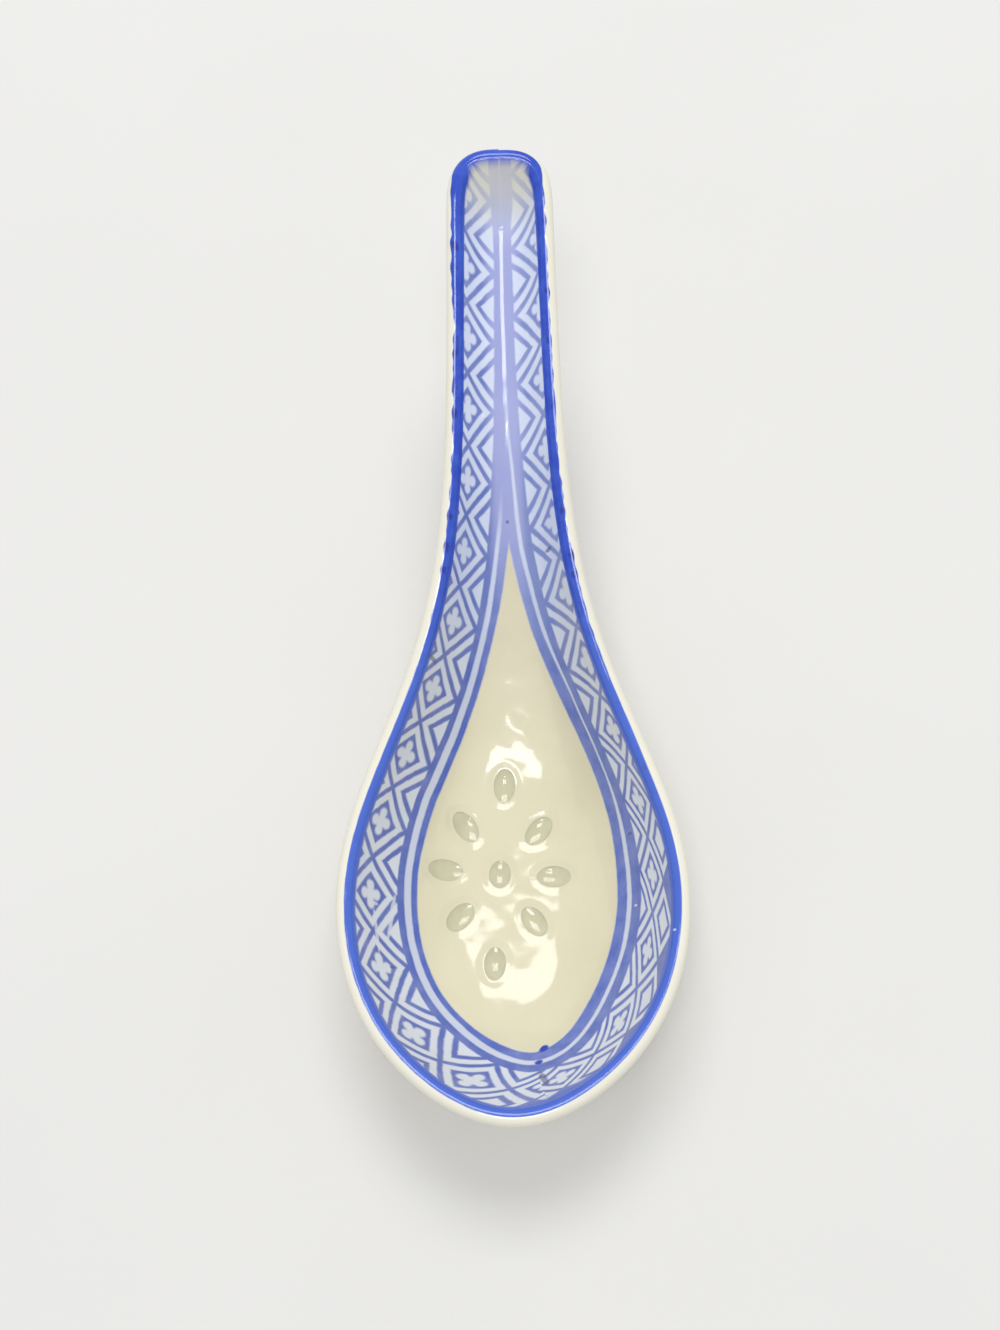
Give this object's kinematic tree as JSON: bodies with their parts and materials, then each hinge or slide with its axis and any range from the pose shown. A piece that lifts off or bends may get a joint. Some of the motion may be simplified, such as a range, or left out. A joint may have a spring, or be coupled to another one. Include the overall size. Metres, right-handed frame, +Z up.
{
  "type": "chinese soup spoon",
  "caption": "Porcelain soup spoon: deep teardrop bowl, channelled handle rising from it, oval foot ring, glazed rice-grain windows in the floor.",
  "frame": {"origin": "centre of the oval foot ring, on the plane that the spoon rests on", "axes": "+Z up from the resting plane, +Y along the spoon towards the end of the handle, +X to the right of someone looking along +Y; the potted shape is symmetric about X = 0"},
  "size_m": [0.0466, 0.1257, 0.0457],
  "materials": {
    "porcelain": "glossy transparent glaze over cream-white porcelain, with a cobalt-blue printed border under the glaze and a bare foot ring",
    "window_glaze": "clear glaze pooled in the pierced holes, slightly green-grey and translucent"
  },
  "bodies": {
    "root": {"porcelain_body": "porcelain", "glaze_window_centre": "window_glaze", "glaze_window_heel": "window_glaze", "glaze_window_heel_right": "window_glaze", "glaze_window_right": "window_glaze", "glaze_window_toe_right": "window_glaze", "glaze_window_toe": "window_glaze", "glaze_window_toe_left": "window_glaze", "glaze_window_left": "window_glaze", "glaze_window_heel_left": "window_glaze"}
  },
  "joints": []
}
